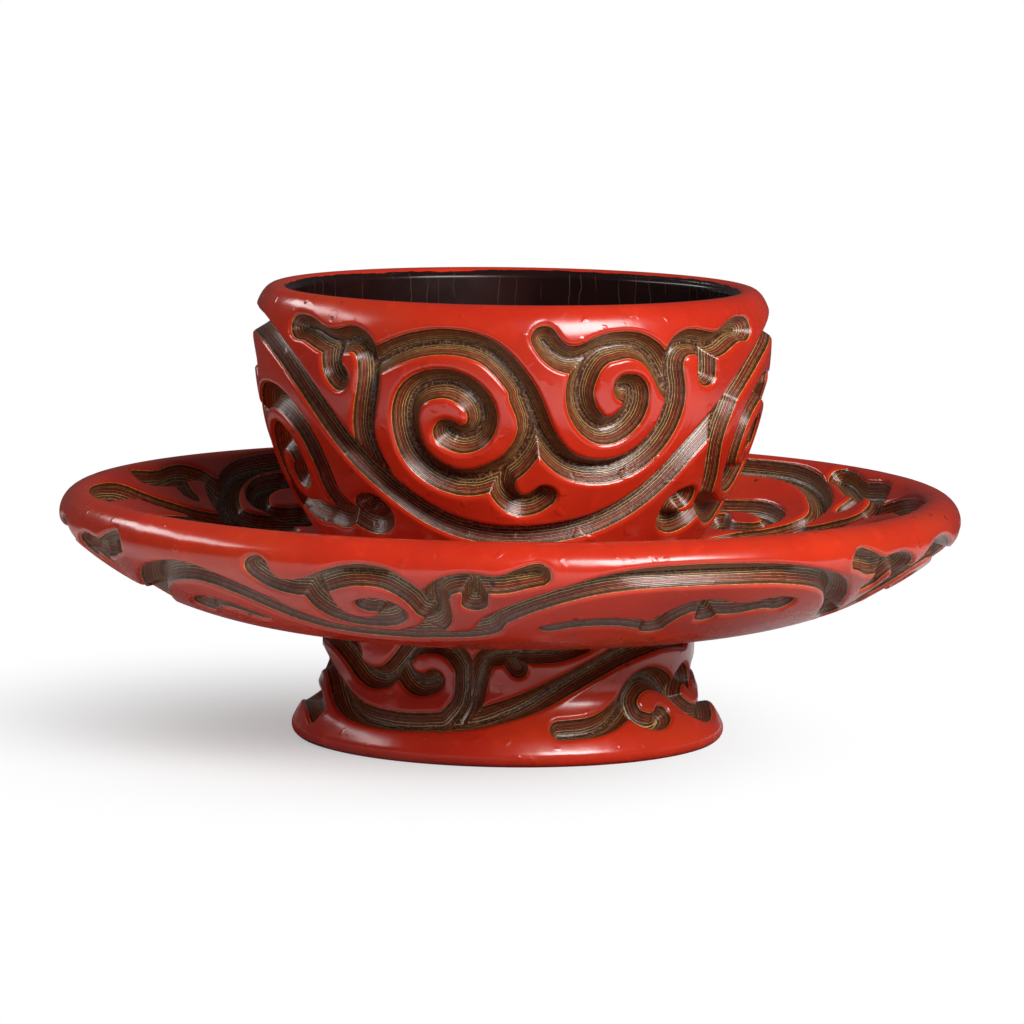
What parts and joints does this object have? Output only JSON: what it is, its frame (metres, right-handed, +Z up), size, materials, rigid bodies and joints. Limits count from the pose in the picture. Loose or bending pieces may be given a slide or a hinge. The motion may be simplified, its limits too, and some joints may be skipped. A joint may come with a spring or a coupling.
{
  "type": "lacquer cup stand",
  "caption": "Round stand for a tea bowl: a bowl-shaped holder in a wide dish on a low foot, open right through, with a carved lacquer outside.",
  "frame": {"origin": "centre of the circle that the foot stands on", "axes": "+Z up along the stand's axis; the picture is taken from the -Y side"},
  "size_m": [0.165, 0.165, 0.0827],
  "materials": {
    "carved_red_lacquer": "polished red lacquer; cuts show dark, red and yellow layers",
    "black_lacquer": "polished brown-black lacquer with fine age cracks",
    "bent_wood": "plain softwood strip, sealed inside the lacquer"
  },
  "bodies": {
    "root": {"cup_carved_coat": "carved_red_lacquer", "dish_carved_coat": "carved_red_lacquer", "foot_carved_coat": "carved_red_lacquer", "cup_lining": "black_lacquer", "foot_lining": "black_lacquer", "foot_base_coat": "black_lacquer", "cup_hoop_1": "bent_wood", "cup_hoop_2": "bent_wood", "cup_hoop_3": "bent_wood", "cup_hoop_4": "bent_wood", "cup_seat_hoop": "bent_wood", "dish_hoop_1": "bent_wood", "dish_hoop_2": "bent_wood", "dish_hoop_3": "bent_wood", "dish_hoop_4": "bent_wood", "dish_hoop_5": "bent_wood", "neck_sleeve": "bent_wood", "foot_hoop_1": "bent_wood", "foot_hoop_2": "bent_wood", "foot_hoop_3": "bent_wood"}
  },
  "joints": []
}
